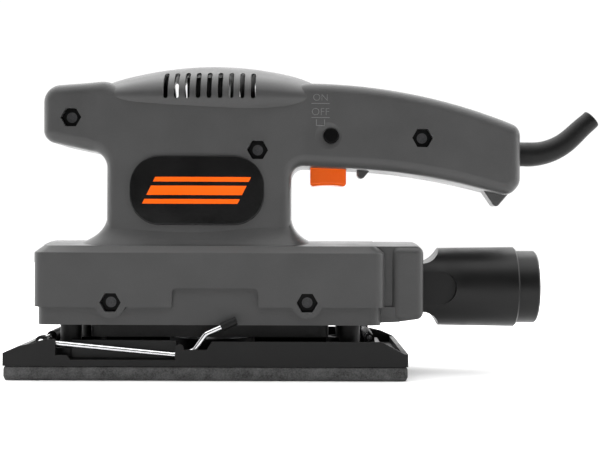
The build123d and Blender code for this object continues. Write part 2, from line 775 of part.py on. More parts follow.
# Left half, with the nut pockets and the lock button's hole
lock_face = side_half(LOCK_X)
dish_ball_r = (LOCK_DISH_R**2 + LOCK_DISH_DEPTH**2) / (2 * LOCK_DISH_DEPTH)
with BuildPart() as left_housing:
    add(shell.part)
    split(bisect_by=Plane.XZ, keep=Keep.TOP)
    for x, height, half in SCREW_SPOTS:
        with BuildSketch(side_plane(POCKET_DEPTH - half)):
            with Locations((x, height)):
                RegularPolygon(NUT_FLATS / 2 + RUN_FIT, 6, major_radius=False)
        extrude(amount=2 * POCKET_DEPTH, mode=Mode.SUBTRACT)
    with BuildSketch(side_plane(-SWITCH_HALF)):
        with Locations((LOCK_X, LOCK_H)):
            Circle(LOCK_R + RUN_FIT)
    extrude(amount=SKIRT_WIDTH, mode=Mode.SUBTRACT)
    with Locations((MOTOR_X + LOCK_X, LOCK_DISH_DEPTH - lock_face - dish_ball_r, RIM_Z + LOCK_H)):
        Sphere(dish_ball_r, mode=Mode.SUBTRACT)

# Right half, with the screw head recesses
with BuildPart() as right_housing:
    add(shell.part)
    split(bisect_by=Plane.XZ, keep=Keep.BOTTOM)
    for x, height, half in SCREW_SPOTS:
        with BuildSketch(side_plane(half - POCKET_DEPTH)):
            with Locations((x, height)):
                Circle(SCREW_HEAD_R + SLIDE_FIT)
        extrude(amount=-2 * POCKET_DEPTH, mode=Mode.SUBTRACT)
    with BuildSketch(side_plane()):
        with Locations((CORD_CLAMP_X, SLEEVE_H)):
            with GridLocations(1, CORD_CLAMP_SPACING, 1, 2):
                Circle(SCREW_R / 2)
    extrude(amount=-3 * WALL, mode=Mode.SUBTRACT)


def pad_plane(y):
    """Vertical plane facing -Y in the pad's own frame: local x is X, local y is Z."""
    return Plane(origin=(0, y, 0), x_dir=(1, 0, 0), z_dir=(0, -1, 0))


def spring_form(place, coil_r, wire_r, length, turns):
    """Coil spring standing on a plane."""
    with BuildPart() as spring:
        with BuildLine() as path:
            Helix(
                pitch=(length - 2 * wire_r) / turns,
                height=length - 2 * wire_r,
                radius=coil_r,
                center=place.offset(wire_r).origin,
                direction=place.z_dir,
            )
        with BuildSketch(Plane(origin=path.line @ 0, z_dir=path.line % 0)):
            Circle(wire_r)
        sweep(path=path.line, is_frenet=True)
    return spring.part


def outer_race_form(place, bore_r, outer_r, width):
    """Outer ring of a ball bearing with its two shields."""
    with BuildPart() as race:
        with BuildSketch(place):
            Circle(outer_r)
            Circle(outer_r - RACE_WALL, mode=Mode.SUBTRACT)
        extrude(amount=width)
        for height in (RACE_WALL / 4, width - RACE_WALL / 2):
            with BuildSketch(place.offset(height)):
                Circle(outer_r - RACE_WALL / 2)
                Circle(bore_r + RACE_WALL + RUN_FIT, mode=Mode.SUBTRACT)
            extrude(amount=RACE_WALL / 4)
    return race.part


def inner_race_form(place, bore_r, width):
    """Inner ring of a ball bearing."""
    with BuildPart() as race:
        with BuildSketch(place):
            Circle(bore_r + RACE_WALL)
            Circle(bore_r, mode=Mode.SUBTRACT)
        extrude(amount=width)
    return race.part


def badge_form(toward):
    """Plate lying on the column's barrel side, facing +Y or -Y."""
    raised = plan_prism(BADGE_THICK)
    column = plan_prism(0)
    with BuildPart() as badge:
        with BuildSketch(side_plane()):
            with Locations((BADGE_X, BADGE_H)):
                RectangleRounded(BADGE_LENGTH, BADGE_HEIGHT, BADGE_ROUND)
        extrude(amount=-toward * SKIRT_WIDTH)
        add(raised, mode=Mode.INTERSECT)
        add(column, mode=Mode.SUBTRACT)
        fillet(badge.faces().sort_by(Axis.Y)[0 if toward < 0 else -1].edges(), BADGE_THICK / 2)
    return badge.part


# Badges on both sides of the column
left_plate = badge_form(-1)
with BuildPart() as left_badge:
    add(left_plate)
right_plate = badge_form(1)
with BuildPart() as right_badge:
    add(right_plate)

# Housing screws with socket heads, and their nuts
with BuildPart() as housing_screws:
    for x, height, half in SCREW_SPOTS:
        seat = half - POCKET_DEPTH
        with BuildSketch(side_plane(-seat - NUT_H)):
            with Locations((x, height)):
                Circle(SCREW_R)
        extrude(amount=-2 * seat - NUT_H)
        with BuildSketch(side_plane(seat)):
            with Locations((x, height)):
                Circle(SCREW_HEAD_R)
        extrude(amount=-SCREW_HEAD_H)
        with BuildSketch(side_plane(seat + SCREW_HEAD_H)):
            with Locations((x, height)):
                RegularPolygon(SCREW_HEAD_R / 2, 6)
        extrude(amount=SCREW_HEAD_H / 2, mode=Mode.SUBTRACT)

with BuildPart() as housing_nuts:
    for x, height, half in SCREW_SPOTS:
        with BuildSketch(side_plane(POCKET_DEPTH - half)):
            with Locations((x, height)):
                RegularPolygon(NUT_FLATS / 2, 6, major_radius=False)
                Circle(SCREW_R, mode=Mode.SUBTRACT)
        extrude(amount=NUT_H)

# Trigger with a spring pocket, its spring, and the switch above
trigger_middle_x = (TRIGGER_FRONT_X + TRIGGER_REAR_X) / 2
with BuildPart() as trigger:
    with BuildSketch(side_plane()):
        with BuildLine():
            Polyline(
                (TRIGGER_FRONT_X, TRIGGER_LOW_H),
                (TRIGGER_FRONT_X, TRIGGER_TOP_H),
                (TRIGGER_REAR_X, TRIGGER_TOP_H),
                (TRIGGER_REAR_X, TRIGGER_LOW_H),
            )
            ThreePointArc(
                (TRIGGER_REAR_X, TRIGGER_LOW_H),
                (trigger_middle_x, TRIGGER_LOW_H + EDGE_SOFT),
                (TRIGGER_FRONT_X, TRIGGER_LOW_H),
            )
        make_face()
    extrude(amount=TRIGGER_HALF, both=True)
    fillet(trigger.edges().filter_by_position(Axis.Z, 0, RIM_Z + TRIGGER_LOW_H + EDGE_SOFT), 2 * EDGE_SOFT)
    with BuildSketch(level(TRIGGER_TOP_H - 1.5 * TRIGGER_FLANGE)):
        with Locations((trigger_middle_x, 0)):
            Rectangle(
                TRIGGER_REAR_X - TRIGGER_FRONT_X + 2 * TRIGGER_FLANGE,
                2 * (TRIGGER_HALF + TRIGGER_FLANGE),
            )
    extrude(amount=1.5 * TRIGGER_FLANGE)
    with BuildSketch(level(TRIGGER_TOP_H - SPRING_POCKET)):
        with Locations((trigger_middle_x, 0)):
            Circle(TRIGGER_SPRING_R + 3 * SPRING_WIRE_R)
    extrude(amount=SPRING_POCKET, mode=Mode.SUBTRACT)

spring_foot = Plane(origin=(MOTOR_X + trigger_middle_x, 0, RIM_Z + TRIGGER_TOP_H - SPRING_POCKET))
trigger_coil = spring_form(
    spring_foot,
    TRIGGER_SPRING_R,
    SPRING_WIRE_R,
    SWITCH_LOW_H - TRIGGER_TOP_H + SPRING_POCKET,
    SPRING_TURNS,
)
with BuildPart() as trigger_spring:
    add(trigger_coil)

with BuildPart() as switch_body:
    with BuildSketch(side_plane()):
        with Locations((SWITCH_FRONT_X + SWITCH_LENGTH / 2, switch_middle_h)):
            Rectangle(SWITCH_LENGTH, SWITCH_HEIGHT)
    extrude(amount=SWITCH_HALF, both=True)
    with BuildSketch(cross_plane(SWITCH_FRONT_X + SWITCH_LENGTH)):
        with Locations((0, switch_middle_h)):
            with GridLocations(SWITCH_HALF, SWITCH_HEIGHT / 2, 2, 2):
                Rectangle(EDGE_SOFT, 2 * WALL)
    extrude(amount=CAPACITOR_GAP / 2)

with BuildPart() as capacitor:
    with BuildSketch(side_plane()):
        with Locations((capacitor_x + CAPACITOR_SIZE[0] / 2, SLEEVE_H + CAPACITOR_SIZE[2] / 2)):
            Rectangle(CAPACITOR_SIZE[0], CAPACITOR_SIZE[2])
    extrude(amount=CAPACITOR_SIZE[1] / 2, both=True)
    fillet(capacitor.edges().filter_by(Axis.Z), EDGE_SOFT)

# Lock button through the left wall, with its spring
lock_flange_y = lock_face - WALL - 2 * SLIDE_FIT
with BuildPart() as lock_button:
    with BuildSketch(side_plane(-lock_face - LOCK_PROUD)):
        with Locations((LOCK_X, LOCK_H)):
            Circle(LOCK_R)
    extrude(amount=SWITCH_HALF + LOCK_TRAVEL + 2 * EDGE_SOFT - lock_face - LOCK_PROUD)
    fillet(lock_button.edges().sort_by(Axis.Y)[0], EDGE_SOFT)
    with BuildSketch(side_plane(-lock_flange_y)):
        with Locations((LOCK_X, LOCK_H)):
            Circle(LOCK_R + LOCK_FLANGE)
    extrude(amount=-LOCK_FLANGE)

lock_spring_foot = Plane(
    origin=(MOTOR_X + LOCK_X, -SWITCH_HALF, RIM_Z + LOCK_H), x_dir=(1, 0, 0), z_dir=(0, -1, 0)
)
lock_coil = spring_form(
    lock_spring_foot,
    LOCK_R + LOCK_FLANGE / 2,
    SPRING_WIRE_R / 2,
    lock_flange_y - LOCK_FLANGE - SWITCH_HALF,
    SPRING_TURNS,
)
with BuildPart() as lock_spring:
    add(lock_coil)

# Cord sleeve, bent up behind the handle
sleeve_root_x = HANDLE_END_X + SLEEVE_LIP
bend_start_x = sleeve_root_x + SLEEVE_STRAIGHT
with BuildLine(side_plane()) as sleeve_path:
    Line((sleeve_root_x, SLEEVE_H), (bend_start_x, SLEEVE_H))
    bend = CenterArc((bend_start_x, SLEEVE_H + SLEEVE_BEND_R), SLEEVE_BEND_R, -90, SLEEVE_BEND)
    PolarLine(bend @ 1, SLEEVE_TIP_RUN, angle=SLEEVE_BEND)
with BuildPart() as cord_sleeve:
    for step in range(SLEEVE_SECTIONS + 1):
        share = step / SLEEVE_SECTIONS
        with BuildSketch(Plane(origin=sleeve_path.line @ share, z_dir=sleeve_path.line % share)):
            Circle(SLEEVE_ROOT_R + share * (SLEEVE_TIP_R - SLEEVE_ROOT_R))
    loft()
    fillet(cord_sleeve.edges().sort_by(Axis.X)[-1], EDGE_SOFT)
    with BuildSketch(cross_plane(HANDLE_END_X - WALL - SLEEVE_FLANGE)):
        with Locations((0, SLEEVE_H)):
            Circle(SLEEVE_ROOT_R + SLEEVE_LIP)
    extrude(amount=SLEEVE_FLANGE)
    with BuildSketch(cross_plane(HANDLE_END_X - WALL)):
        with Locations((0, SLEEVE_H)):
            Circle(SLEEVE_ROOT_R - SLEEVE_LIP)
    extrude(amount=WALL + SLEEVE_LIP)
    with BuildSketch(cross_plane(sleeve_root_x)):
        with Locations((0, SLEEVE_H)):
            Circle(SLEEVE_BORE_R)
    sweep(path=sleeve_path.line, mode=Mode.SUBTRACT)
    with BuildSketch(cross_plane(HANDLE_END_X - WALL - SLEEVE_FLANGE)):
        with Locations((0, SLEEVE_H)):
            Circle(SLEEVE_BORE_R)
    extrude(amount=WALL + SLEEVE_FLANGE + SLEEVE_LIP, mode=Mode.SUBTRACT)

# Cord clamp bar on the right half's two bosses
with BuildPart() as cord_clamp:
    with BuildSketch(side_plane()):
        with Locations((CORD_CLAMP_X, SLEEVE_H)):
            RectangleRounded(CORD_CLAMP_SIZE[0], CORD_CLAMP_SIZE[2], EDGE_SOFT)
            with GridLocations(1, CORD_CLAMP_SPACING, 1, 2):
                Circle(SCREW_R / 2, mode=Mode.SUBTRACT)
    extrude(amount=CORD_CLAMP_SIZE[1])

with BuildPart() as cord_clamp_screws:
    with BuildSketch(side_plane(-CORD_CLAMP_SIZE[1])):
        with Locations((CORD_CLAMP_X, SLEEVE_H)):
            with GridLocations(1, CORD_CLAMP_SPACING, 1, 2):
                Circle(SCREW_R)
    extrude(amount=SCREW_R)
    with BuildSketch(side_plane(-CORD_CLAMP_SIZE[1])):
        with Locations((CORD_CLAMP_X, SLEEVE_H)):
            with GridLocations(1, CORD_CLAMP_SPACING, 1, 2):
                Circle(SCREW_R / 2)
    extrude(amount=-CORD_CLAMP_SIZE[1] - 2 * WALL)

# Stator with two poles, and the field coils around the poles' necks
yoke_inner_r = STATOR_R - STATOR_YOKE
shoe_outer_x = ROTOR_R + POLE_SHOE
coil_thick = (yoke_inner_r**2 - POLE_HALF**2) ** 0.5 - shoe_outer_x
with BuildPart() as stator_core:
    with BuildSketch(level(STATOR_LOW_H)):
        Circle(STATOR_R)
        Circle(yoke_inner_r, mode=Mode.SUBTRACT)
        Rectangle(2 * yoke_inner_r + STATOR_YOKE, 2 * POLE_NECK_HALF)
        Rectangle(2 * shoe_outer_x, 2 * POLE_HALF)
        Circle(ROTOR_R + ROTOR_AIR, mode=Mode.SUBTRACT)
    extrude(amount=STATOR_LENGTH)

with BuildPart() as field_coils:
    for x in (shoe_outer_x, -shoe_outer_x - coil_thick):
        with BuildSketch(cross_plane(x)):
            with Locations((0, STATOR_LOW_H + STATOR_LENGTH / 2)):
                RectangleRounded(2 * POLE_HALF, STATOR_LENGTH + 2 * COIL_END, COIL_END)
                Rectangle(2 * POLE_NECK_HALF, STATOR_LENGTH, mode=Mode.SUBTRACT)
        extrude(amount=coil_thick)

# Rotor: shaft, armature with its winding, commutator
shaft_low_h = CRANK_TOP_Z + SEAT_LIP - RIM_Z
shaft_step_h = UPPER_BEARING_H - SEAT_LIP
with BuildPart() as motor_shaft:
    with BuildSketch(level(shaft_low_h)):
        Circle(SHAFT_R)
    extrude(amount=shaft_step_h - shaft_low_h)
    with BuildSketch(level(shaft_step_h)):
        Circle(SHAFT_TOP_R)
    extrude(amount=UPPER_BEARING_W + 2 * SEAT_LIP)

with BuildPart() as armature_core:
    with BuildSketch(level(STATOR_LOW_H)):
        Circle(ROTOR_R)
        with PolarLocations((ROTOR_R + SLOT_ROOT_R) / 2, ROTOR_SLOTS):
            Rectangle(ROTOR_R - SLOT_ROOT_R, SLOT_WIDTH, mode=Mode.SUBTRACT)
        Circle(SHAFT_R, mode=Mode.SUBTRACT)
    extrude(amount=STATOR_LENGTH)

winding_r = ROTOR_R - EDGE_SOFT
winding_low_h = STATOR_LOW_H - COIL_END
with BuildPart() as armature_winding:
    with BuildSketch(level(winding_low_h)):
        Circle(winding_r)
        Circle(SHAFT_R + EDGE_SOFT, mode=Mode.SUBTRACT)
    extrude(amount=COIL_END)
    with BuildSketch(level(STATOR_LOW_H + STATOR_LENGTH)):
        Circle(winding_r)
        Circle(SHAFT_R + EDGE_SOFT, mode=Mode.SUBTRACT)
    extrude(amount=COIL_END)
    fillet(armature_winding.edges().filter_by(GeomType.CIRCLE).sort_by(Axis.Z)[-2:], EDGE_SOFT)
    with BuildSketch(level(winding_low_h)):
        with PolarLocations((winding_r + SLOT_ROOT_R) / 2, ROTOR_SLOTS):
            Rectangle(winding_r - SLOT_ROOT_R - 2 * RUN_FIT, SLOT_WIDTH - 2 * RUN_FIT)
    extrude(amount=STATOR_LENGTH + COIL_END + EDGE_SOFT)

with BuildPart() as commutator:
    with BuildSketch(level(COMMUTATOR_H)):
        Circle(COMMUTATOR_R)
        with PolarLocations(COMMUTATOR_R, COMMUTATOR_BARS):
            Rectangle(2 * EDGE_SOFT, EDGE_SOFT / 2, mode=Mode.SUBTRACT)
        Circle(SHAFT_R, mode=Mode.SUBTRACT)
    extrude(amount=COMMUTATOR_LENGTH)
    with BuildSketch(level(COMMUTATOR_H)):
        Circle(COMMUTATOR_R + SEAT_LIP)
        Circle(SHAFT_R, mode=Mode.SUBTRACT)
    extrude(amount=SEAT_LIP)

# Fan below the bearing web
with BuildPart() as fan:
    with BuildSketch(level(FAN_LOW_H)):
        Circle(FAN_R)
        Circle(SHAFT_R, mode=Mode.SUBTRACT)
    extrude(amount=FAN_PLATE)
    with BuildSketch(level(FAN_LOW_H)):
        Circle(FAN_HUB_R)
        Circle(SHAFT_R, mode=Mode.SUBTRACT)
    extrude(amount=FAN_HEIGHT)
    with BuildSketch(level(FAN_LOW_H)):
        with PolarLocations((FAN_R + AIR_RING_R / 2) / 2, FAN_BLADES):
            Rectangle(FAN_R - AIR_RING_R / 2, FAN_PLATE, rotation=FAN_BLADE_ANGLE)
    extrude(amount=FAN_HEIGHT)
    with BuildSketch(level(FAN_LOW_H)):
        Circle(FAN_R)
    extrude(amount=FAN_HEIGHT, mode=Mode.INTERSECT)

# Eccentric with crank pin and counterweight, and the screw under the pin
crank_z = PAD_THICK + CRANK_SEAT
with BuildPart() as eccentric:
    with BuildSketch(Plane.XY.offset(crank_z)):
        Circle(CRANK_R)
    extrude(amount=CRANK_TOP_Z - crank_z)
    with BuildSketch(Plane.XY.offset(crank_z + CRANK_BEARING_W)):
        Circle(CRANK_R + RACE_WALL)
    extrude(amount=CRANK_TOP_Z - crank_z - CRANK_BEARING_W)
    with BuildSketch(level(CRANK_TOP_Z - RIM_Z)):
        Circle(ECCENTRIC_R)
    extrude(amount=ECCENTRIC_THICK)
    with BuildSketch(level(CRANK_TOP_Z - RIM_Z)):
        Circle(COUNTERWEIGHT_R)
        with Locations((-COUNTERWEIGHT_R, 0)):
            Rectangle(2 * COUNTERWEIGHT_R, 2 * COUNTERWEIGHT_R, mode=Mode.SUBTRACT)
    extrude(amount=ECCENTRIC_THICK - SEAT_LIP)
    with BuildSketch(level(CRANK_TOP_Z - RIM_Z)):
        Circle(FAN_HUB_R)
    extrude(amount=RIM_Z + FAN_LOW_H - CRANK_TOP_Z)
    with BuildSketch(level(shaft_low_h)):
        Circle(SHAFT_R)
    extrude(amount=THROUGH, mode=Mode.SUBTRACT)
    with BuildSketch(Plane.XY.offset(crank_z)):
        Circle(CRANK_R / 2)
    extrude(amount=CRANK_BEARING_W, mode=Mode.SUBTRACT)

with BuildPart() as crank_screw:
    with BuildSketch(Plane.XY.offset(crank_z)):
        Circle(CRANK_R + RACE_WALL)
    extrude(amount=CRANK_SEAT_AIR - CRANK_SEAT)
    with BuildSketch(Plane.XY.offset(crank_z)):
        Circle(CRANK_R / 2)
    extrude(amount=CRANK_BEARING_W - SEAT_LIP)

# Ball bearings of the shaft and the crank pin
lower_outer_ring = outer_race_form(level(LOWER_BEARING_H), SHAFT_R, LOWER_BEARING_R, LOWER_BEARING_W)
with BuildPart() as lower_bearing_outer:
    add(lower_outer_ring)
lower_inner_ring = inner_race_form(level(LOWER_BEARING_H), SHAFT_R, LOWER_BEARING_W)
with BuildPart() as lower_bearing_inner:
    add(lower_inner_ring)
upper_outer_ring = outer_race_form(level(UPPER_BEARING_H), SHAFT_TOP_R, UPPER_BEARING_R, UPPER_BEARING_W)
with BuildPart() as upper_bearing_outer:
    add(upper_outer_ring)
upper_inner_ring = inner_race_form(level(UPPER_BEARING_H), SHAFT_TOP_R, UPPER_BEARING_W)
with BuildPart() as upper_bearing_inner:
    add(upper_inner_ring)
crank_plane = Plane.XY.offset(crank_z)
crank_outer_ring = outer_race_form(crank_plane, CRANK_R, CRANK_BEARING_R, CRANK_BEARING_W)
with BuildPart() as crank_bearing_outer:
    add(crank_outer_ring)
crank_inner_ring = inner_race_form(crank_plane, CRANK_R, CRANK_BEARING_W)
with BuildPart() as crank_bearing_inner:
    add(crank_inner_ring)

# Brush gear on both sides of the commutator
brush_front_y = COMMUTATOR_R + RUN_FIT
holder_front_y = COMMUTATOR_R + SEAT_LIP
brush_rear_y = holder_front_y + BRUSH_SIZE[1]
spring_rear_y = brush_rear_y + BRUSH_SPRING_LENGTH
holder_width = BRUSH_SIZE[0] + 2 * BRUSH_HOLDER_WALL
with BuildPart() as brush_holders:
    for toward in (-1, 1):
        with BuildSketch(side_plane(toward * holder_front_y)):
            with Locations((0, BRUSH_H)):
                Rectangle(holder_width, 2 * brush_holder_h)
        extrude(amount=-toward * (spring_rear_y + BRUSH_HOLDER_WALL - holder_front_y))
        with BuildSketch(side_plane(toward * holder_front_y)):
            with Locations((0, BRUSH_H)):
                Rectangle(BRUSH_SIZE[0], BRUSH_SIZE[2])
        extrude(amount=-toward * (spring_rear_y - holder_front_y), mode=Mode.SUBTRACT)

with BuildPart() as carbon_brushes:
    for toward in (-1, 1):
        with BuildSketch(side_plane(toward * brush_rear_y)):
            with Locations((0, BRUSH_H)):
                Rectangle(BRUSH_SIZE[0], BRUSH_SIZE[2])
        extrude(amount=toward * (brush_rear_y - COMMUTATOR_R / 2))
    with BuildSketch(level(COMMUTATOR_H)):
        Circle(brush_front_y)
    extrude(amount=COMMUTATOR_LENGTH, mode=Mode.SUBTRACT)

brush_coils = []
for toward in (-1, 1):
    coil_foot = Plane(
        origin=(MOTOR_X, toward * brush_rear_y, RIM_Z + BRUSH_H), x_dir=(1, 0, 0), z_dir=(0, toward, 0)
    )
    brush_coils.append(
        spring_form(coil_foot, BRUSH_SIZE[0] / 3, SPRING_WIRE_R / 2, BRUSH_SPRING_LENGTH, SPRING_TURNS)
    )
with BuildPart() as brush_springs:
    for coil in brush_coils:
        add(coil)

with BuildPart() as motor_wires:
    for toward in (-1, 1):
        with BuildLine(level(0)) as wire_path:
            FilletPolyline(
                (SWITCH_FRONT_X, toward * SWITCH_HALF / 2, WIRE_TOP_H),
                (SWITCH_FRONT_X - WIRE_LEAD, toward * SWITCH_HALF / 2, WIRE_TOP_H),
                (WIRE_BEND_X, toward * 2 * SWITCH_HALF, WIRE_TOP_H - SEAT_WALL),
                (holder_width / 2 + WIRE_LEAD, toward * brush_rear_y, BRUSH_H + SEAT_LIP),
                (holder_width / 2, toward * brush_rear_y, BRUSH_H + SEAT_LIP),
                radius=4 * MOTOR_WIRE_R,
            )
        with BuildSketch(Plane(origin=wire_path.line @ 0, z_dir=wire_path.line % 0)):
            Circle(MOTOR_WIRE_R)
        sweep(path=wire_path.line)

# Dust adapter on its spigot, and the seal ring
scallop_x = BOX_REAR_X + EDGE_SOFT
bore_start_x = scallop_x + SCALLOP_R + SEAT_LIP
barrel_x = BOX_REAR_X + SLIDE_FIT
with BuildPart() as dust_adapter:
    with BuildSketch(side_plane()):
        with BuildLine():
            Polyline(
                (barrel_x - SPIGOT_LENGTH, ADAPTER_H + SPIGOT_BORE_R),
                (barrel_x - SPIGOT_LENGTH, ADAPTER_H + SPIGOT_R),
                (barrel_x, ADAPTER_H + SPIGOT_R),
                (barrel_x, ADAPTER_H + BARREL_R),
                (BARREL_END_X - EDGE_SOFT, ADAPTER_H + BARREL_END_R),
                (BARREL_END_X, ADAPTER_H + BARREL_END_R - EDGE_SOFT),
                (BARREL_END_X, ADAPTER_H + COLLAR_R),
                (COLLAR_END_X - EDGE_SOFT, ADAPTER_H + COLLAR_R),
                (COLLAR_END_X, ADAPTER_H + COLLAR_R - EDGE_SOFT),
                (COLLAR_END_X, ADAPTER_H + ADAPTER_BORE_R),
                (bore_start_x + WALL, ADAPTER_H + ADAPTER_BORE_R),
                (bore_start_x - WALL, ADAPTER_H + SPIGOT_BORE_R),
                close=True,
            )
        make_face()
    revolve(axis=Axis((MOTOR_X, 0, RIM_Z + ADAPTER_H), (1, 0, 0)))
    with BuildSketch(side_plane()):
        with Locations((scallop_x, ADAPTER_H)):
            with GridLocations(1, 2 * (SCALLOP_R + SCALLOP_NECK), 1, 2):
                Circle(SCALLOP_R)
    extrude(amount=BARREL_END_R, both=True, mode=Mode.SUBTRACT)
    for toward in (-1, 1):
        with BuildSketch(side_plane(toward * (BARREL_R - FLAT_DEPTH))):
            with Locations((barrel_x, ADAPTER_H)):
                SlotOverall(2 * (FLAT_END_X - barrel_x), FLAT_HEIGHT)
        extrude(amount=-toward * BARREL_R, mode=Mode.SUBTRACT)
    with BuildSketch(cross_plane(barrel_x - SPIGOT_LENGTH / 2)):
        with Locations((0, ADAPTER_H)):
            Circle(SPIGOT_R + WALL)
            Circle(SPIGOT_R - SEAL_DEPTH, mode=Mode.SUBTRACT)
    extrude(amount=SEAL_WIDTH, mode=Mode.SUBTRACT)

with BuildPart() as adapter_seal:
    with BuildSketch(cross_plane(barrel_x - SPIGOT_LENGTH / 2)):
        with Locations((0, ADAPTER_H)):
            Circle(SPIGOT_R + RUN_FIT / 2)
            Circle(SPIGOT_R - SEAL_DEPTH, mode=Mode.SUBTRACT)
    extrude(amount=SEAL_WIDTH)

# Rubber posts in the rim's sockets, and the seal around the fan chamber
with BuildPart() as support_posts:
    with BuildSketch(Plane(origin=(MOTOR_X, 0, FLOOR_Z + SEAT_LIP))):
        with GridLocations(2 * POST_X, 2 * POST_Y, 2, 2):
            Circle(POST_R)
    extrude(amount=RIM_Z + POST_SOCKET_H - FLOOR_Z - SEAT_LIP)

seal_low_z = CRANK_TOP_Z
with BuildPart() as dust_skirt:
    with BuildSketch(Plane(origin=(MOTOR_X, 0, seal_low_z))):
        RectangleRounded(SEAL_LENGTH, INNER_WIDTH, SKIRT_ROUND)
        offset(amount=-SEAL_THICK, mode=Mode.SUBTRACT)
    extrude(amount=RIM_Z + WALL / 2 - seal_low_z)

# Foam pad with the dust holes
with BuildPart() as foam_pad:
    with BuildSketch():
        RectangleRounded(PAD_LENGTH, PAD_WIDTH, PAD_CORNER)
        with GridLocations(DUST_HOLE_PITCH, DUST_ROW_GAP, 4, 2):
            Circle(DUST_HOLE_R, mode=Mode.SUBTRACT)
    extrude(amount=PAD_THICK)

# Platen: both sides carry the same walls, turned half a turn
outer_wall = LEVER_INSET - WIRE_R - SLIDE_FIT
pivot_r = WIRE_R + PLATEN_WALL / 2
pivot_posts = (
    (2 * PLATEN_WALL - LEVER_Y, 2 * PLATEN_WALL),
    (CROSSBAR_END_Y - PLATEN_WALL / 2, 1.5 * PLATEN_WALL),
)
with BuildPart() as platen_side:
    with BuildSketch(pad_plane(outer_wall - PAD_WIDTH / 2)):
        with BuildLine():
            Polyline(
                (-PAD_LENGTH / 2, PAD_THICK),
                (-PAD_LENGTH / 2, PAD_THICK + END_LIP_HEIGHT),
                *[(x - PAD_LENGTH / 2, PAD_THICK + height) for x, height in FRONT_WALL_TOP],
                (FRONT_WALL_TOP[-1][0] - PAD_LENGTH / 2, PAD_THICK),
                close=True,
            )
        make_face()
        with BuildLine():
            Polyline(
                (HOOK_POST_X, PAD_THICK),
                (HOOK_POST_X, HOOK_POST_Z - HOOK_POST_LENGTH / 2),
                (HOOK_POST_X + HOOK_POST_LENGTH, HOOK_POST_Z - HOOK_POST_LENGTH / 2),
                (HOOK_POST_X + HOOK_POST_LENGTH, LOW_WALL_Z),
                (LOW_WALL_END_X, LOW_WALL_Z),
                (LOW_WALL_END_X + PLATEN_WALL, WALL_TOP_Z),
                *[(PAD_LENGTH / 2 - x, PAD_THICK + height) for x, height in REAR_WALL_TOP],
                (PAD_LENGTH / 2, PAD_THICK),
                close=True,
            )
        make_face()
        with Locations((HOOK_POST_X + HOOK_POST_LENGTH / 2, HOOK_POST_Z - HOOK_POST_LENGTH / 2)):
            Circle(HOOK_POST_LENGTH / 2)
    extrude(amount=outer_wall)
    with BuildSketch(Plane.XY.offset(PAD_THICK)):
        with Locations((HOOK_POST_X - RECESS_WALL_LENGTH / 2, RECESS_WALL_Y)):
            Rectangle(RECESS_WALL_LENGTH, PLATEN_WALL)
    extrude(amount=PLATEN_HEIGHT)
    with BuildSketch(Plane.XY.offset(PAD_THICK)):
        with Locations((PLATEN_WALL / 2 - PAD_LENGTH / 2, 0)):
            Rectangle(PLATEN_WALL, PAD_WIDTH)
    extrude(amount=END_LIP_HEIGHT)
    with BuildSketch(Plane.XY.offset(PAD_THICK)):
        with Locations((PIVOT_X - JAW_REACH - PLATEN_WALL, 0)):
            Rectangle(PLATEN_WALL, 2 * POST_Y)
    extrude(amount=END_LIP_HEIGHT + JAW_THICK / 2)
    for y, thick in pivot_posts:
        with BuildSketch(pad_plane(y)):
            with Locations((PIVOT_X, PIVOT_Z)):
                Circle(pivot_r)
            with Locations((PIVOT_X, (PAD_THICK + PIVOT_Z) / 2)):
                Rectangle(2 * pivot_r, PIVOT_Z - PAD_THICK)
        extrude(amount=thick / 2, both=True)
    with BuildSketch(pad_plane(PAD_WIDTH / 2)):
        with Locations((PIVOT_X, PIVOT_Z)):
            Circle(WIRE_R + RUN_FIT)
    extrude(amount=PAD_WIDTH - outer_wall, mode=Mode.SUBTRACT)

cup_r = POST_R + ORBIT + AIR_GAP
turned_side = platen_side.part.rotate(Axis.Z, 180)
with BuildPart() as platen:
    with BuildSketch(Plane.XY.offset(PAD_THICK)):
        RectangleRounded(PAD_LENGTH, PAD_WIDTH, PAD_CORNER)
    extrude(amount=PLATEN_FLOOR)
    add(platen_side.part)
    add(turned_side)
    with BuildSketch(Plane.XY.offset(PAD_THICK)):
        Circle(HUB_R)
        with GridLocations(2 * POST_X, 2 * POST_Y, 2, 2):
            Circle(cup_r + PLATEN_WALL)
    extrude(amount=CUP_HEIGHT)
    with BuildSketch(Plane.XY.offset(PAD_THICK)):
        Circle(HUB_R)
    extrude(amount=CRANK_SEAT + CRANK_BEARING_W)
    with BuildSketch(Plane.XY.offset(FLOOR_Z)):
        with GridLocations(2 * POST_X, 2 * POST_Y, 2, 2):
            Circle(cup_r)
    extrude(amount=THROUGH, mode=Mode.SUBTRACT)
    with BuildSketch(Plane.XY.offset(PAD_THICK)):
        Circle(CRANK_BEARING_R - RACE_WALL)
        with GridLocations(DUST_HOLE_PITCH, DUST_ROW_GAP, 4, 2):
            Circle(DUST_HOLE_R)
    extrude(amount=THROUGH, mode=Mode.SUBTRACT)
    with BuildSketch(crank_plane):
        Circle(CRANK_BEARING_R)
    extrude(amount=CRANK_BEARING_W, mode=Mode.SUBTRACT)
    with BuildSketch(crank_plane):
        with PolarLocations(COVER_SCREW_CIRCLE, COVER_SCREWS):
            Circle(COVER_SCREW_R)
    extrude(amount=CRANK_BEARING_W, mode=Mode.SUBTRACT)

# Cover over the crank bearing, with its screws
cover_plane = crank_plane.offset(CRANK_BEARING_W)
with BuildPart() as bearing_cover:
    with BuildSketch(cover_plane):
        Circle(HUB_R - EDGE_SOFT)
        Circle(CRANK_BEARING_R - RACE_WALL, mode=Mode.SUBTRACT)
        with PolarLocations(COVER_SCREW_CIRCLE, COVER_SCREWS):
            Circle(COVER_SCREW_R, mode=Mode.SUBTRACT)
    extrude(amount=COVER_THICK)

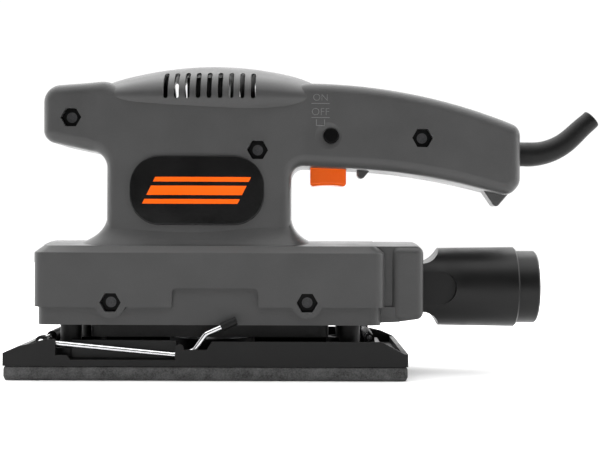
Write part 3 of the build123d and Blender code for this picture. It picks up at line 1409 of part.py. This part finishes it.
with BuildPart() as cover_screws:
    with BuildSketch(crank_plane):
        with PolarLocations(COVER_SCREW_CIRCLE, COVER_SCREWS):
            Circle(COVER_SCREW_R)
    extrude(amount=CRANK_BEARING_W + COVER_THICK)
    with BuildSketch(cover_plane.offset(COVER_THICK)):
        with PolarLocations(COVER_SCREW_CIRCLE, COVER_SCREWS):
            Circle(2 * COVER_SCREW_R)
    extrude(amount=COVER_THICK / 2)

# Front paper clamp: wire lever, grip and jaw
with BuildLine() as lever_path:
    FilletPolyline(
        (PIVOT_X, CROSSBAR_END_Y, PIVOT_Z),
        (PIVOT_X, -LEVER_Y, PIVOT_Z),
        (LEVER_LOW[0], -LEVER_Y, LEVER_LOW[1]),
        (LEVER_RISE[0], -LEVER_Y, LEVER_RISE[1]),
        (LEVER_ELBOW[0], -LEVER_Y, LEVER_ELBOW[1]),
        (LEVER_TIP[0], -LEVER_Y, LEVER_TIP[1]),
        radius=[2.5 * WIRE_R, 5 * WIRE_R, 3 * WIRE_R, 3 * WIRE_R],
    )
with BuildPart() as front_clamp_wire:
    with BuildSketch(Plane(origin=lever_path.line @ 0, z_dir=lever_path.line % 0)):
        Circle(WIRE_R)
    sweep(path=lever_path.line)

with BuildPart() as front_clamp_grip:
    with BuildSketch(Plane(origin=lever_path.line @ 1, z_dir=lever_path.line % 1)):
        Circle(GRIP_R)
    extrude(amount=EDGE_SOFT)
    with BuildSketch(Plane(origin=lever_path.line @ 1, z_dir=lever_path.line % 1)):
        Circle(GRIP_R)
        Circle(WIRE_R, mode=Mode.SUBTRACT)
    extrude(amount=-GRIP_LENGTH)

with BuildPart() as front_clamp_jaw:
    with BuildSketch(pad_plane(0)):
        with Locations((PIVOT_X, PIVOT_Z)):
            Circle(2 * WIRE_R)
        with BuildLine():
            Polyline(
                (PIVOT_X - WIRE_R - JAW_THICK / 2, PIVOT_Z),
                (PIVOT_X - JAW_REACH - JAW_THICK / 2, PIVOT_Z - JAW_DROP),
                (PIVOT_X - JAW_REACH + JAW_THICK / 2, PIVOT_Z - JAW_DROP),
                (PIVOT_X, PIVOT_Z - WIRE_R - JAW_THICK / 2),
                close=True,
            )
        make_face()
        with Locations((PIVOT_X, PIVOT_Z)):
            Circle(WIRE_R, mode=Mode.SUBTRACT)
    extrude(amount=JAW_HALF, both=True)

# Rear paper clamp: the front one turned half a turn
turned_wire = front_clamp_wire.part.rotate(Axis.Z, 180)
with BuildPart() as rear_clamp_wire:
    add(turned_wire)
turned_grip = front_clamp_grip.part.rotate(Axis.Z, 180)
with BuildPart() as rear_clamp_grip:
    add(turned_grip)
turned_jaw = front_clamp_jaw.part.rotate(Axis.Z, 180)
with BuildPart() as rear_clamp_jaw:
    add(turned_jaw)

# One file for each piece
pieces = {
    "left_housing": left_housing,
    "right_housing": right_housing,
    "housing_screws": housing_screws,
    "housing_nuts": housing_nuts,
    "left_badge": left_badge,
    "right_badge": right_badge,
    "trigger": trigger,
    "trigger_spring": trigger_spring,
    "switch_body": switch_body,
    "capacitor": capacitor,
    "lock_button": lock_button,
    "lock_spring": lock_spring,
    "cord_sleeve": cord_sleeve,
    "cord_clamp": cord_clamp,
    "cord_clamp_screws": cord_clamp_screws,
    "stator_core": stator_core,
    "field_coils": field_coils,
    "brush_holders": brush_holders,
    "carbon_brushes": carbon_brushes,
    "brush_springs": brush_springs,
    "motor_wires": motor_wires,
    "lower_bearing_outer": lower_bearing_outer,
    "upper_bearing_outer": upper_bearing_outer,
    "support_posts": support_posts,
    "dust_skirt": dust_skirt,
    "motor_shaft": motor_shaft,
    "armature_core": armature_core,
    "armature_winding": armature_winding,
    "commutator": commutator,
    "fan": fan,
    "eccentric": eccentric,
    "crank_screw": crank_screw,
    "lower_bearing_inner": lower_bearing_inner,
    "upper_bearing_inner": upper_bearing_inner,
    "crank_bearing_inner": crank_bearing_inner,
    "crank_bearing_outer": crank_bearing_outer,
    "platen": platen,
    "foam_pad": foam_pad,
    "bearing_cover": bearing_cover,
    "cover_screws": cover_screws,
    "front_clamp_wire": front_clamp_wire,
    "front_clamp_grip": front_clamp_grip,
    "front_clamp_jaw": front_clamp_jaw,
    "rear_clamp_wire": rear_clamp_wire,
    "rear_clamp_grip": rear_clamp_grip,
    "rear_clamp_jaw": rear_clamp_jaw,
    "dust_adapter": dust_adapter,
    "adapter_seal": adapter_seal,
}
os.makedirs("parts", exist_ok=True)
for name, piece in pieces.items():
    piece.part.label = name
    export_step(piece.part, f"parts/{name}.step")
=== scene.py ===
import math
import bpy
import bmesh
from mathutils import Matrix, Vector, noise


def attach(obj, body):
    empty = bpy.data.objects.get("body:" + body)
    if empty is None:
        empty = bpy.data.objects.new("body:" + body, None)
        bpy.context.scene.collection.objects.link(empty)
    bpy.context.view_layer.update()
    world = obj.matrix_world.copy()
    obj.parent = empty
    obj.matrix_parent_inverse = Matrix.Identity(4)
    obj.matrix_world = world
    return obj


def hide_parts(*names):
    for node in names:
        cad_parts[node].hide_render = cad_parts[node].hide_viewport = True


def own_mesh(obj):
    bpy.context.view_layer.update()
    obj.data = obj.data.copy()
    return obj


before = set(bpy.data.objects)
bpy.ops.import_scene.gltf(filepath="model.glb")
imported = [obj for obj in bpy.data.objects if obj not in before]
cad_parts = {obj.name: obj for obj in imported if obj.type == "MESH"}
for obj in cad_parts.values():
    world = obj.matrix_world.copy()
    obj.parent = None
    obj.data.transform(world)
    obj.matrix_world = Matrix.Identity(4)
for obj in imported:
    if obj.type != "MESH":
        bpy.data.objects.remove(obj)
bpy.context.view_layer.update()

# Dresses the orbital sander: materials for every CAD node, a soft foam pad, copies of the springs, the
# raised switch marks, and a studio with the camera at the photograph's view. Metres, in the CAD model's own
# frame.

# Camera, for an image of 600 by 450
CAMERA_PLACE = (0.0434, -0.607, 0.0742)
CAMERA_ROLL = -0.2
CAMERA_LENS = 73.2
CAMERA_SENSOR = 36.0
CAMERA_SHIFT_Y = -0.0083

# Noise behind every finish: the middle of its range, its detail and the strength of its relief
NOISE_MIDDLE = (0.3, 0.7)
PATCH_DETAIL = 3.0
GRAIN_DETAIL = 2.0
TONE_SHARE = 0.5
RELIEF_STRENGTH = 0.6

# Foam pad
FOAM_GRID = 0.0012
FOAM_SOFTEN = 1
FOAM_CELL = 0.0016
FOAM_PIT = 0.00016

# Springs copied onto the housing: the joint, its axis and its travel
SPRINGS = {
    "trigger_spring": ("trigger_press", (0.0, 0.0, 1.0), 0.004),
    "lock_spring": ("lock_press", (0.0, 1.0, 0.0), 0.003),
}

# Badge print: middle, half length, slant, the offset and half height of each stripe, and the ink
PRINT_MIDDLE = (-0.0054, 0.088)
PRINT_HALF = 0.0225
PRINT_SLANT = 0.5
PRINT_STRIPES = ((0.0052, 0.0011), (0.0, 0.0022), (-0.0052, 0.0011))
PRINT_INK = (250, 98, 10)

# Raised marks above the trigger, on the handle's sloping side: the words with their feet and sizes, the
# rules, and the bracket's width, height and line
MARK_X = 0.0530
MARK_Y = -0.0256
MARK_TURN = 3.67
MARK_RAISE = 0.0002
MARK_THIN = 0.00008
MARK_WORDS = (("ON", 0.1311, 0.0047), ("OFF", 0.1242, 0.0050))
MARK_RULES = (0.1298, 0.1231)
MARK_RULE_SIZE = (0.0087, 0.00035)
BRACKET_TOP = 0.1222
BRACKET_SIZE = (0.0043, 0.0029, 0.0004)

# Studio
FLOOR_SIZE = 3.0
FLOOR_DROP = 0.0002
BACKDROP_STRENGTH = 1.05
ROOM_FRONT = 0.15
ROOM_BACK = 2.0
ROOM_FADE = (-0.6, 0.3)
# Place, turn about Y in degrees, size and power
SOFTBOXES = {
    "softbox_top": ((0.05, 0.25, 2.2), 0.0, 4.0, 118.0),
    "softbox_front": ((-1.4, 0.2, 0.45), -90.0, 1.2, 5.0),
    "softbox_rear": ((1.4, 0.0, 0.45), 90.0, 1.2, 7.0),
}


def linear(red, green, blue):
    """Linear colour for 8-bit screen values."""
    channels = []
    for value in (red, green, blue):
        share = value / 255
        if share <= 0.04045:
            channels.append(share / 12.92)
        else:
            channels.append(((share + 0.055) / 1.055) ** 2.4)
    return (*channels, 1.0)


def noise_node(tree, place, scale, detail):
    """Noise texture over object coordinates."""
    node = tree.nodes.new("ShaderNodeTexNoise")
    node.inputs["Scale"].default_value = scale
    node.inputs["Detail"].default_value = detail
    tree.links.new(place.outputs["Object"], node.inputs["Vector"])
    return node


def spread(tree, source, low, high):
    """Value that runs from low to high over the middle of a noise."""
    node = tree.nodes.new("ShaderNodeMapRange")
    node.inputs["From Min"].default_value, node.inputs["From Max"].default_value = NOISE_MIDDLE
    node.inputs["To Min"].default_value = low
    node.inputs["To Max"].default_value = high
    tree.links.new(source, node.inputs["Value"])
    return node.outputs["Result"]


def two_tone(tree, factor, dark, light):
    """Colour between dark and light."""
    node = tree.nodes.new("ShaderNodeMix")
    node.data_type = "RGBA"
    node.inputs[6].default_value = dark
    node.inputs[7].default_value = light
    tree.links.new(factor, node.inputs[0])
    return node.outputs[2]


def finish_material(name, dark, light, gloss, grain, patch=70.0, relief=0.00004, metallic=0.0, shine=0.5):
    """Material with patchy tone and gloss and a fine grain; dark and light are screen values."""
    material = bpy.data.materials.new(name)
    material.use_nodes = True
    tree = material.node_tree
    shader = tree.nodes["Principled BSDF"]
    shader.inputs["Metallic"].default_value = metallic
    shader.inputs["Specular IOR Level"].default_value = shine
    place = tree.nodes.new("ShaderNodeTexCoord")
    patches = noise_node(tree, place, patch, PATCH_DETAIL)
    grains = noise_node(tree, place, grain, GRAIN_DETAIL)
    blend = tree.nodes.new("ShaderNodeMath")
    blend.operation = "ADD"
    tree.links.new(spread(tree, patches.outputs["Fac"], 0.0, TONE_SHARE), blend.inputs[0])
    tree.links.new(spread(tree, grains.outputs["Fac"], 0.0, TONE_SHARE), blend.inputs[1])
    tone = two_tone(tree, blend.outputs[0], linear(*dark), linear(*light))
    tree.links.new(tone, shader.inputs["Base Color"])
    tree.links.new(spread(tree, patches.outputs["Fac"], *gloss), shader.inputs["Roughness"])
    bump = tree.nodes.new("ShaderNodeBump")
    bump.inputs["Strength"].default_value = RELIEF_STRENGTH
    bump.inputs["Distance"].default_value = relief
    tree.links.new(grains.outputs["Fac"], bump.inputs["Height"])
    tree.links.new(bump.outputs["Normal"], shader.inputs["Normal"])
    return material


def badge_material():
    """Gloss black plate with slanted orange stripes printed on it."""
    material = finish_material(
        "badge_gloss", dark=(8, 8, 8), light=(13, 13, 13), gloss=(0.16, 0.26), grain=900.0, shine=0.25
    )
    tree = material.node_tree
    shader = tree.nodes["Principled BSDF"]
    plate = shader.inputs["Base Color"].links[0].from_socket
    place = tree.nodes.new("ShaderNodeTexCoord")
    split = tree.nodes.new("ShaderNodeSeparateXYZ")
    tree.links.new(place.outputs["Object"], split.inputs[0])
    lean = tree.nodes.new("ShaderNodeMath")
    lean.operation = "MULTIPLY_ADD"
    lean.inputs[1].default_value = -PRINT_SLANT
    tree.links.new(split.outputs["Z"], lean.inputs[0])
    tree.links.new(split.outputs["X"], lean.inputs[2])
    along = tree.nodes.new("ShaderNodeMath")
    along.operation = "COMPARE"
    along.inputs[1].default_value = PRINT_MIDDLE[0] - PRINT_SLANT * PRINT_MIDDLE[1]
    along.inputs[2].default_value = PRINT_HALF
    tree.links.new(lean.outputs[0], along.inputs[0])
    ink = None
    for offset, half in PRINT_STRIPES:
        across = tree.nodes.new("ShaderNodeMath")
        across.operation = "COMPARE"
        across.inputs[1].default_value = PRINT_MIDDLE[1] + offset
        across.inputs[2].default_value = half
        tree.links.new(split.outputs["Z"], across.inputs[0])
        stripe = tree.nodes.new("ShaderNodeMath")
        stripe.operation = "MULTIPLY"
        tree.links.new(along.outputs[0], stripe.inputs[0])
        tree.links.new(across.outputs[0], stripe.inputs[1])
        if ink is None:
            ink = stripe.outputs[0]
        else:
            both = tree.nodes.new("ShaderNodeMath")
            both.operation = "MAXIMUM"
            tree.links.new(ink, both.inputs[0])
            tree.links.new(stripe.outputs[0], both.inputs[1])
            ink = both.outputs[0]
    printed = tree.nodes.new("ShaderNodeMix")
    printed.data_type = "RGBA"
    printed.inputs[7].default_value = linear(*PRINT_INK)
    tree.links.new(ink, printed.inputs[0])
    tree.links.new(plate, printed.inputs[6])
    tree.links.new(printed.outputs[2], shader.inputs["Base Color"])
    return material


def dress(node_names, material):
    """Gives CAD nodes a material."""
    for name in node_names:
        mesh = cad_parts[name].data
        mesh.materials.clear()
        mesh.materials.append(material)


def foam_piece(material):
    """Soft pad from the CAD pad's form: rounded edges and a pitted skin."""
    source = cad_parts["foam_pad"]
    pad = bpy.data.objects.new("soft_pad", source.data.copy())
    bpy.context.scene.collection.objects.link(pad)
    remesh = pad.modifiers.new("even", "REMESH")
    remesh.mode = "VOXEL"
    remesh.voxel_size = FOAM_GRID
    smooth = pad.modifiers.new("soften", "SMOOTH")
    smooth.iterations = FOAM_SOFTEN
    evaluated = pad.evaluated_get(bpy.context.evaluated_depsgraph_get())
    mesh = bpy.data.meshes.new_from_object(evaluated)
    pad.modifiers.clear()
    pad.data = mesh
    mesh.name = "soft_pad"
    for vertex in mesh.vertices:
        depth = max(0.0, noise.noise(vertex.co / FOAM_CELL))
        vertex.co -= vertex.normal * depth * FOAM_PIT
    mesh.polygons.foreach_set("use_smooth", [True] * len(mesh.polygons))
    mesh.materials.clear()
    mesh.materials.append(material)
    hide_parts("foam_pad")
    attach(pad, "platen")


def live_spring(name):
    """Copy of a spring, on the housing in place of the hidden CAD spring."""
    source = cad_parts[name]
    spring = bpy.data.objects.new("live_" + name, source.data.copy())
    bpy.context.scene.collection.objects.link(spring)
    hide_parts(name)
    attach(spring, "housing")
    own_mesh(spring)


def mark_bar(name, centre_z, width, height, material, centre_x=0.0):
    """Raised bar on the handle's side."""
    block = bmesh.new()
    bmesh.ops.create_cube(block, size=1.0)
    mesh = bpy.data.meshes.new(name)
    block.to_mesh(mesh)
    block.free()
    bar = bpy.data.objects.new(name, mesh)
    bpy.context.scene.collection.objects.link(bar)
    turn = math.radians(MARK_TURN)
    bar.scale = (width, 2 * MARK_RAISE, height)
    bar.rotation_euler = (0.0, 0.0, turn)
    bar.location = (MARK_X + centre_x * math.cos(turn), MARK_Y + centre_x * math.sin(turn), centre_z)
    mesh.materials.append(material)
    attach(bar, "housing")


def mark_word(word, low_z, size, material):
    """Raised word on the handle's side."""
    curve = bpy.data.curves.new("mark_" + word.lower(), "FONT")
    curve.body = word
    curve.size = size
    curve.align_x = "CENTER"
    curve.extrude = MARK_RAISE
    curve.offset = -MARK_THIN
    curve.materials.append(material)
    text = bpy.data.objects.new("mark_" + word.lower(), curve)
    bpy.context.scene.collection.objects.link(text)
    text.rotation_euler = (math.radians(90), 0.0, math.radians(MARK_TURN))
    text.location = (MARK_X, MARK_Y, low_z)
    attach(text, "housing")


def studio_world():
    """White backdrop, and a room that is dim in front of the object and bright behind it."""
    world = bpy.data.worlds.new("studio")
    world.use_nodes = True
    tree = world.node_tree
    room = tree.nodes["Background"]
    room.inputs["Color"].default_value = (1.0, 1.0, 1.0, 1.0)
    place = tree.nodes.new("ShaderNodeTexCoord")
    split = tree.nodes.new("ShaderNodeSeparateXYZ")
    tree.links.new(place.outputs["Generated"], split.inputs[0])
    fade = tree.nodes.new("ShaderNodeMapRange")
    fade.interpolation_type = "SMOOTHSTEP"
    fade.inputs["From Min"].default_value, fade.inputs["From Max"].default_value = ROOM_FADE
    fade.inputs["To Min"].default_value = ROOM_FRONT
    fade.inputs["To Max"].default_value = ROOM_BACK
    tree.links.new(split.outputs["Y"], fade.inputs["Value"])
    tree.links.new(fade.outputs["Result"], room.inputs["Strength"])
    backdrop = tree.nodes.new("ShaderNodeBackground")
    backdrop.inputs["Color"].default_value = (1.0, 1.0, 1.0, 1.0)
    backdrop.inputs["Strength"].default_value = BACKDROP_STRENGTH
    rays = tree.nodes.new("ShaderNodeLightPath")
    seen = tree.nodes.new("ShaderNodeMixShader")
    tree.links.new(rays.outputs["Is Camera Ray"], seen.inputs[0])
    tree.links.new(room.outputs[0], seen.inputs[1])
    tree.links.new(backdrop.outputs[0], seen.inputs[2])
    tree.links.new(seen.outputs[0], tree.nodes["World Output"].inputs["Surface"])
    return world


grey = finish_material(
    "grey_plastic", dark=(63, 63, 63), light=(71, 71, 71), gloss=(0.32, 0.42), grain=2600.0, shine=0.25
)
# Housing grey made lighter for the raised marks: a painted highlight for the light their edges catch
mark_painted_highlight = finish_material(
    "marks_painted_highlight", dark=(100, 100, 100), light=(110, 110, 110), gloss=(0.32, 0.42), grain=2600.0, shine=0.25
)
black = finish_material(
    "black_plastic", dark=(8, 8, 8), light=(15, 15, 15), gloss=(0.36, 0.46), grain=2200.0, shine=0.25
)
# Lock button: its own black, made darker and duller than the black plastic as painted shade of the dish it
# sits in
button_black_and_shade = finish_material(
    "button_black_painted_shade", dark=(1, 1, 1), light=(5, 5, 5), gloss=(0.30, 0.42), grain=2200.0, shine=0.08
)
rubber = finish_material(
    "black_rubber",
    dark=(9, 9, 9),
    light=(18, 18, 18),
    gloss=(0.44, 0.58),
    grain=1500.0,
    patch=110.0,
    relief=0.00008,
    shine=0.2,
)
orange = finish_material(
    "orange_plastic", dark=(250, 92, 4), light=(255, 106, 8), gloss=(0.28, 0.38), grain=2200.0, shine=0.25
)
bright = finish_material(
    "bright_wire",
    dark=(196, 196, 198),
    light=(224, 224, 226),
    gloss=(0.14, 0.26),
    grain=1300.0,
    patch=300.0,
    relief=0.00002,
    metallic=1.0,
)
steel = finish_material(
    "steel",
    dark=(150, 150, 152),
    light=(182, 182, 184),
    gloss=(0.28, 0.42),
    grain=1600.0,
    patch=200.0,
    relief=0.00002,
    metallic=1.0,
)
# Nuts and clamp jaws: steel parts painted near-black, matte and not metallic, as painted shade of their
# pockets and of the gap under the housing
steel_painted_shade = finish_material(
    "steel_painted_shade",
    dark=(2, 2, 2),
    light=(7, 7, 7),
    gloss=(0.34, 0.46),
    grain=1600.0,
    patch=260.0,
    relief=0.00002,
    shine=0.1,
)
screw_steel = finish_material(
    "screw_steel",
    dark=(46, 46, 47),
    light=(72, 72, 74),
    gloss=(0.34, 0.46),
    grain=1600.0,
    patch=260.0,
    relief=0.00002,
    shine=0.3,
)
iron = finish_material(
    "laminated_iron",
    dark=(92, 92, 94),
    light=(122, 122, 124),
    gloss=(0.42, 0.58),
    grain=1800.0,
    patch=240.0,
    relief=0.00003,
    metallic=0.9,
)
copper = finish_material(
    "copper",
    dark=(168, 86, 46),
    light=(202, 116, 66),
    gloss=(0.30, 0.44),
    grain=1700.0,
    patch=260.0,
    relief=0.00003,
    metallic=0.9,
)
brass = finish_material(
    "brass",
    dark=(186, 150, 72),
    light=(212, 178, 96),
    gloss=(0.26, 0.40),
    grain=1600.0,
    patch=260.0,
    relief=0.00002,
    metallic=1.0,
)
carbon = finish_material("carbon", dark=(34, 34, 36), light=(52, 52, 54), gloss=(0.55, 0.70), grain=2400.0)
case = finish_material(
    "capacitor_case", dark=(176, 142, 58), light=(196, 164, 76), gloss=(0.38, 0.50), grain=1800.0
)
wire = finish_material(
    "wire_insulation", dark=(150, 30, 24), light=(178, 46, 36), gloss=(0.34, 0.46), grain=1500.0
)
foam = finish_material(
    "foam",
    dark=(46, 46, 46),
    light=(94, 94, 94),
    gloss=(0.86, 0.98),
    grain=1500.0,
    patch=160.0,
    relief=0.0003,
    shine=0.1,
)
paint = finish_material(
    "floor_paint",
    dark=(238, 238, 238),
    light=(244, 244, 244),
    gloss=(0.6, 0.7),
    grain=60.0,
    patch=1.5,
    relief=0.0002,
)

dress(("left_housing", "right_housing"), grey)
dress(("left_badge", "right_badge"), badge_material())
dress(("trigger",), orange)
dress(("switch_body", "cord_clamp", "fan", "dust_adapter", "platen"), black)
dress(("lock_button",), button_black_and_shade)
dress(
    (
        "cord_sleeve",
        "support_posts",
        "dust_skirt",
        "adapter_seal",
        "front_clamp_grip",
        "rear_clamp_grip",
    ),
    rubber,
)
dress(("front_clamp_wire", "rear_clamp_wire"), bright)
dress(("housing_nuts", "front_clamp_jaw", "rear_clamp_jaw"), steel_painted_shade)
dress(("housing_screws",), screw_steel)
dress(
    (
        "trigger_spring",
        "lock_spring",
        "brush_springs",
        "cord_clamp_screws",
        "motor_shaft",
        "crank_screw",
        "bearing_cover",
        "cover_screws",
        "lower_bearing_outer",
        "lower_bearing_inner",
        "upper_bearing_outer",
        "upper_bearing_inner",
        "crank_bearing_outer",
        "crank_bearing_inner",
    ),
    steel,
)
dress(("stator_core", "armature_core", "eccentric"), iron)
dress(("field_coils", "armature_winding", "commutator"), copper)
dress(("brush_holders",), brass)
dress(("carbon_brushes",), carbon)
dress(("capacitor",), case)
dress(("motor_wires",), wire)
dress(("foam_pad",), foam)
foam_piece(foam)
for name, (joint, axis, travel) in SPRINGS.items():
    live_spring(name)

for word, low_z, size in MARK_WORDS:
    mark_word(word, low_z, size, mark_painted_highlight)
for number, rule_z in enumerate(MARK_RULES):
    mark_bar(f"mark_rule_{number}", rule_z, *MARK_RULE_SIZE, mark_painted_highlight)
bracket_width, bracket_height, bracket_line = BRACKET_SIZE
bracket_middle = BRACKET_TOP - bracket_height / 2
bracket_side = (bracket_width - bracket_line) / 2
mark_bar("mark_bracket_base", BRACKET_TOP - bracket_height, bracket_width, bracket_line, mark_painted_highlight)
mark_bar("mark_bracket_front", bracket_middle, bracket_line, bracket_height, mark_painted_highlight, -bracket_side)
mark_bar("mark_bracket_rear", bracket_middle, bracket_line, bracket_height, mark_painted_highlight, bracket_side)

# Floor, light and camera
floor_mesh = bpy.data.meshes.new("floor")
floor_block = bmesh.new()
bmesh.ops.create_grid(floor_block, x_segments=1, y_segments=1, size=FLOOR_SIZE / 2)
floor_block.to_mesh(floor_mesh)
floor_block.free()
floor = bpy.data.objects.new("floor", floor_mesh)
bpy.context.scene.collection.objects.link(floor)
floor.location.z = -FLOOR_DROP
floor_mesh.materials.append(paint)

bpy.context.scene.world = studio_world()
bpy.context.scene.view_settings.view_transform = "Standard"

for name, (place, turn, size, power) in SOFTBOXES.items():
    lamp = bpy.data.lights.new(name, "AREA")
    lamp.size = size
    lamp.energy = power
    softbox = bpy.data.objects.new(name, lamp)
    bpy.context.scene.collection.objects.link(softbox)
    softbox.location = place
    softbox.rotation_euler.y = math.radians(turn)

lens = bpy.data.cameras.new("camera")
lens.lens = CAMERA_LENS
lens.sensor_width = CAMERA_SENSOR
lens.shift_y = CAMERA_SHIFT_Y
camera = bpy.data.objects.new("camera", lens)
bpy.context.scene.collection.objects.link(camera)
camera.location = CAMERA_PLACE
camera.rotation_euler = (math.radians(90), math.radians(CAMERA_ROLL), 0.0)
bpy.context.scene.camera = camera

bpy.context.view_layer.update()
